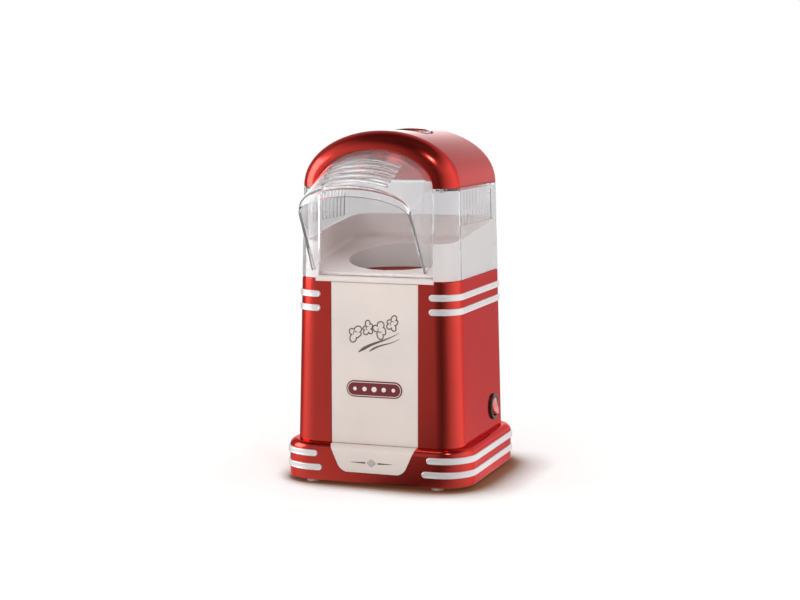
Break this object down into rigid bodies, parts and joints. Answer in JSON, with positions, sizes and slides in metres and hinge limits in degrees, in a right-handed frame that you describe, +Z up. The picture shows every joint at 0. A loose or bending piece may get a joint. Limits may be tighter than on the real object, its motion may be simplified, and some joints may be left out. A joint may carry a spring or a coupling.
{
  "type": "popcorn maker",
  "caption": "Hot-air popcorn maker with a red stepped housing, clear cabin with pouring hood, arched roof with measuring cup and side rocker switch.",
  "frame": {"origin": "centre of the bounding box on the surface that the feet stand on", "axes": "+Z up, front with the pouring hood towards -Y, rocker switch on the +X side"},
  "size_m": [0.1696, 0.219, 0.3],
  "materials": {
    "red_lacquer": "moulded plastic in metallic red lacquer, high gloss",
    "cream_plastic": "cream moulded plastic, satin, with printed decoration",
    "silver_trim": "satin silver coated plastic strip",
    "white_plastic": "white moulded plastic, fine satin",
    "clear_plastic": "clear moulded polycarbonate",
    "cup_plastic": "clear moulded plastic",
    "grey_rubber": "soft grey rubber",
    "black_plastic": "black moulded nylon",
    "grey_plastic": "dark grey moulded plastic",
    "rocker_red": "translucent red moulded plastic",
    "spun_aluminium": "spun aluminium, satin",
    "plated_steel": "zinc plated steel",
    "ground_steel": "ground steel",
    "silicone": "red-brown silicone",
    "mica": "pressed mica board",
    "nichrome": "oxidised resistance wire",
    "brass": "stamped brass",
    "board_green": "green circuit board",
    "terminal_ivory": "ivory nylon",
    "wire_sleeve": "brown glass-fibre sleeved wire"
  },
  "bodies": {
    "base": {"plinth": "red_lacquer", "body_shell": "red_lacquer", "front_panel": "cream_plastic", "plinth_plate": "cream_plastic", "left_high_body_trim": "silver_trim", "left_low_body_trim": "silver_trim", "right_high_body_trim": "silver_trim", "right_low_body_trim": "silver_trim", "left_high_plinth_trim": "silver_trim", "left_low_plinth_trim": "silver_trim", "right_high_plinth_trim": "silver_trim", "right_low_plinth_trim": "silver_trim", "chute_liner": "white_plastic", "front_left_foot": "grey_rubber", "front_right_foot": "grey_rubber", "rear_left_foot": "grey_rubber", "rear_right_foot": "grey_rubber", "switch_housing": "black_plastic", "cord_gland": "black_plastic", "gland_nut": "black_plastic", "motor_end_cap": "black_plastic", "rectifier_diodes": "black_plastic", "base_cover": "grey_plastic", "fan_duct": "grey_plastic", "popping_chamber": "spun_aluminium", "base_screws": "plated_steel", "shell_screws": "plated_steel", "liner_screws": "plated_steel", "heater_screws": "plated_steel", "duct_screws": "plated_steel", "motor_screws": "plated_steel", "heater_housing": "plated_steel", "motor_bracket": "plated_steel", "motor_can": "plated_steel", "thermostat": "plated_steel", "thermal_fuse": "plated_steel", "chamber_gasket": "silicone", "heater_former": "mica", "heater_coil": "nichrome", "switch_terminals": "brass", "rectifier_board": "board_green", "terminal_block": "terminal_ivory", "switch_wire": "wire_sleeve", "heater_wire": "wire_sleeve"},
    "cover": {"clear_cabin": "clear_plastic", "chute_hood": "clear_plastic", "dome_roof": "red_lacquer", "roof_screws": "plated_steel"},
    "cup": {"measuring_cup": "cup_plastic"},
    "rocker": {"switch_rocker": "rocker_red"},
    "fan": {"fan_impeller": "grey_plastic", "motor_shaft": "ground_steel"}
  },
  "joints": [
    {"name": "cover_lift", "type": "slide", "parent": "base", "child": "cover", "axis": [0, 0, 1], "range_m": [0, 0.12]},
    {"name": "cup_lift", "type": "slide", "parent": "cover", "child": "cup", "axis": [0, 0, 1], "range_m": [0, 0.06]},
    {"name": "rocker_press", "type": "hinge", "parent": "base", "child": "rocker", "pos_m": [0.07283, 0.0542, 0.05496], "axis": [0, 1, 0], "range_deg": [0, 20]},
    {"name": "fan_spin", "type": "hinge", "parent": "base", "child": "fan", "pos_m": [0, 0.0222, 0.05], "axis": [0, 0, 1], "continuous": true}
  ]
}
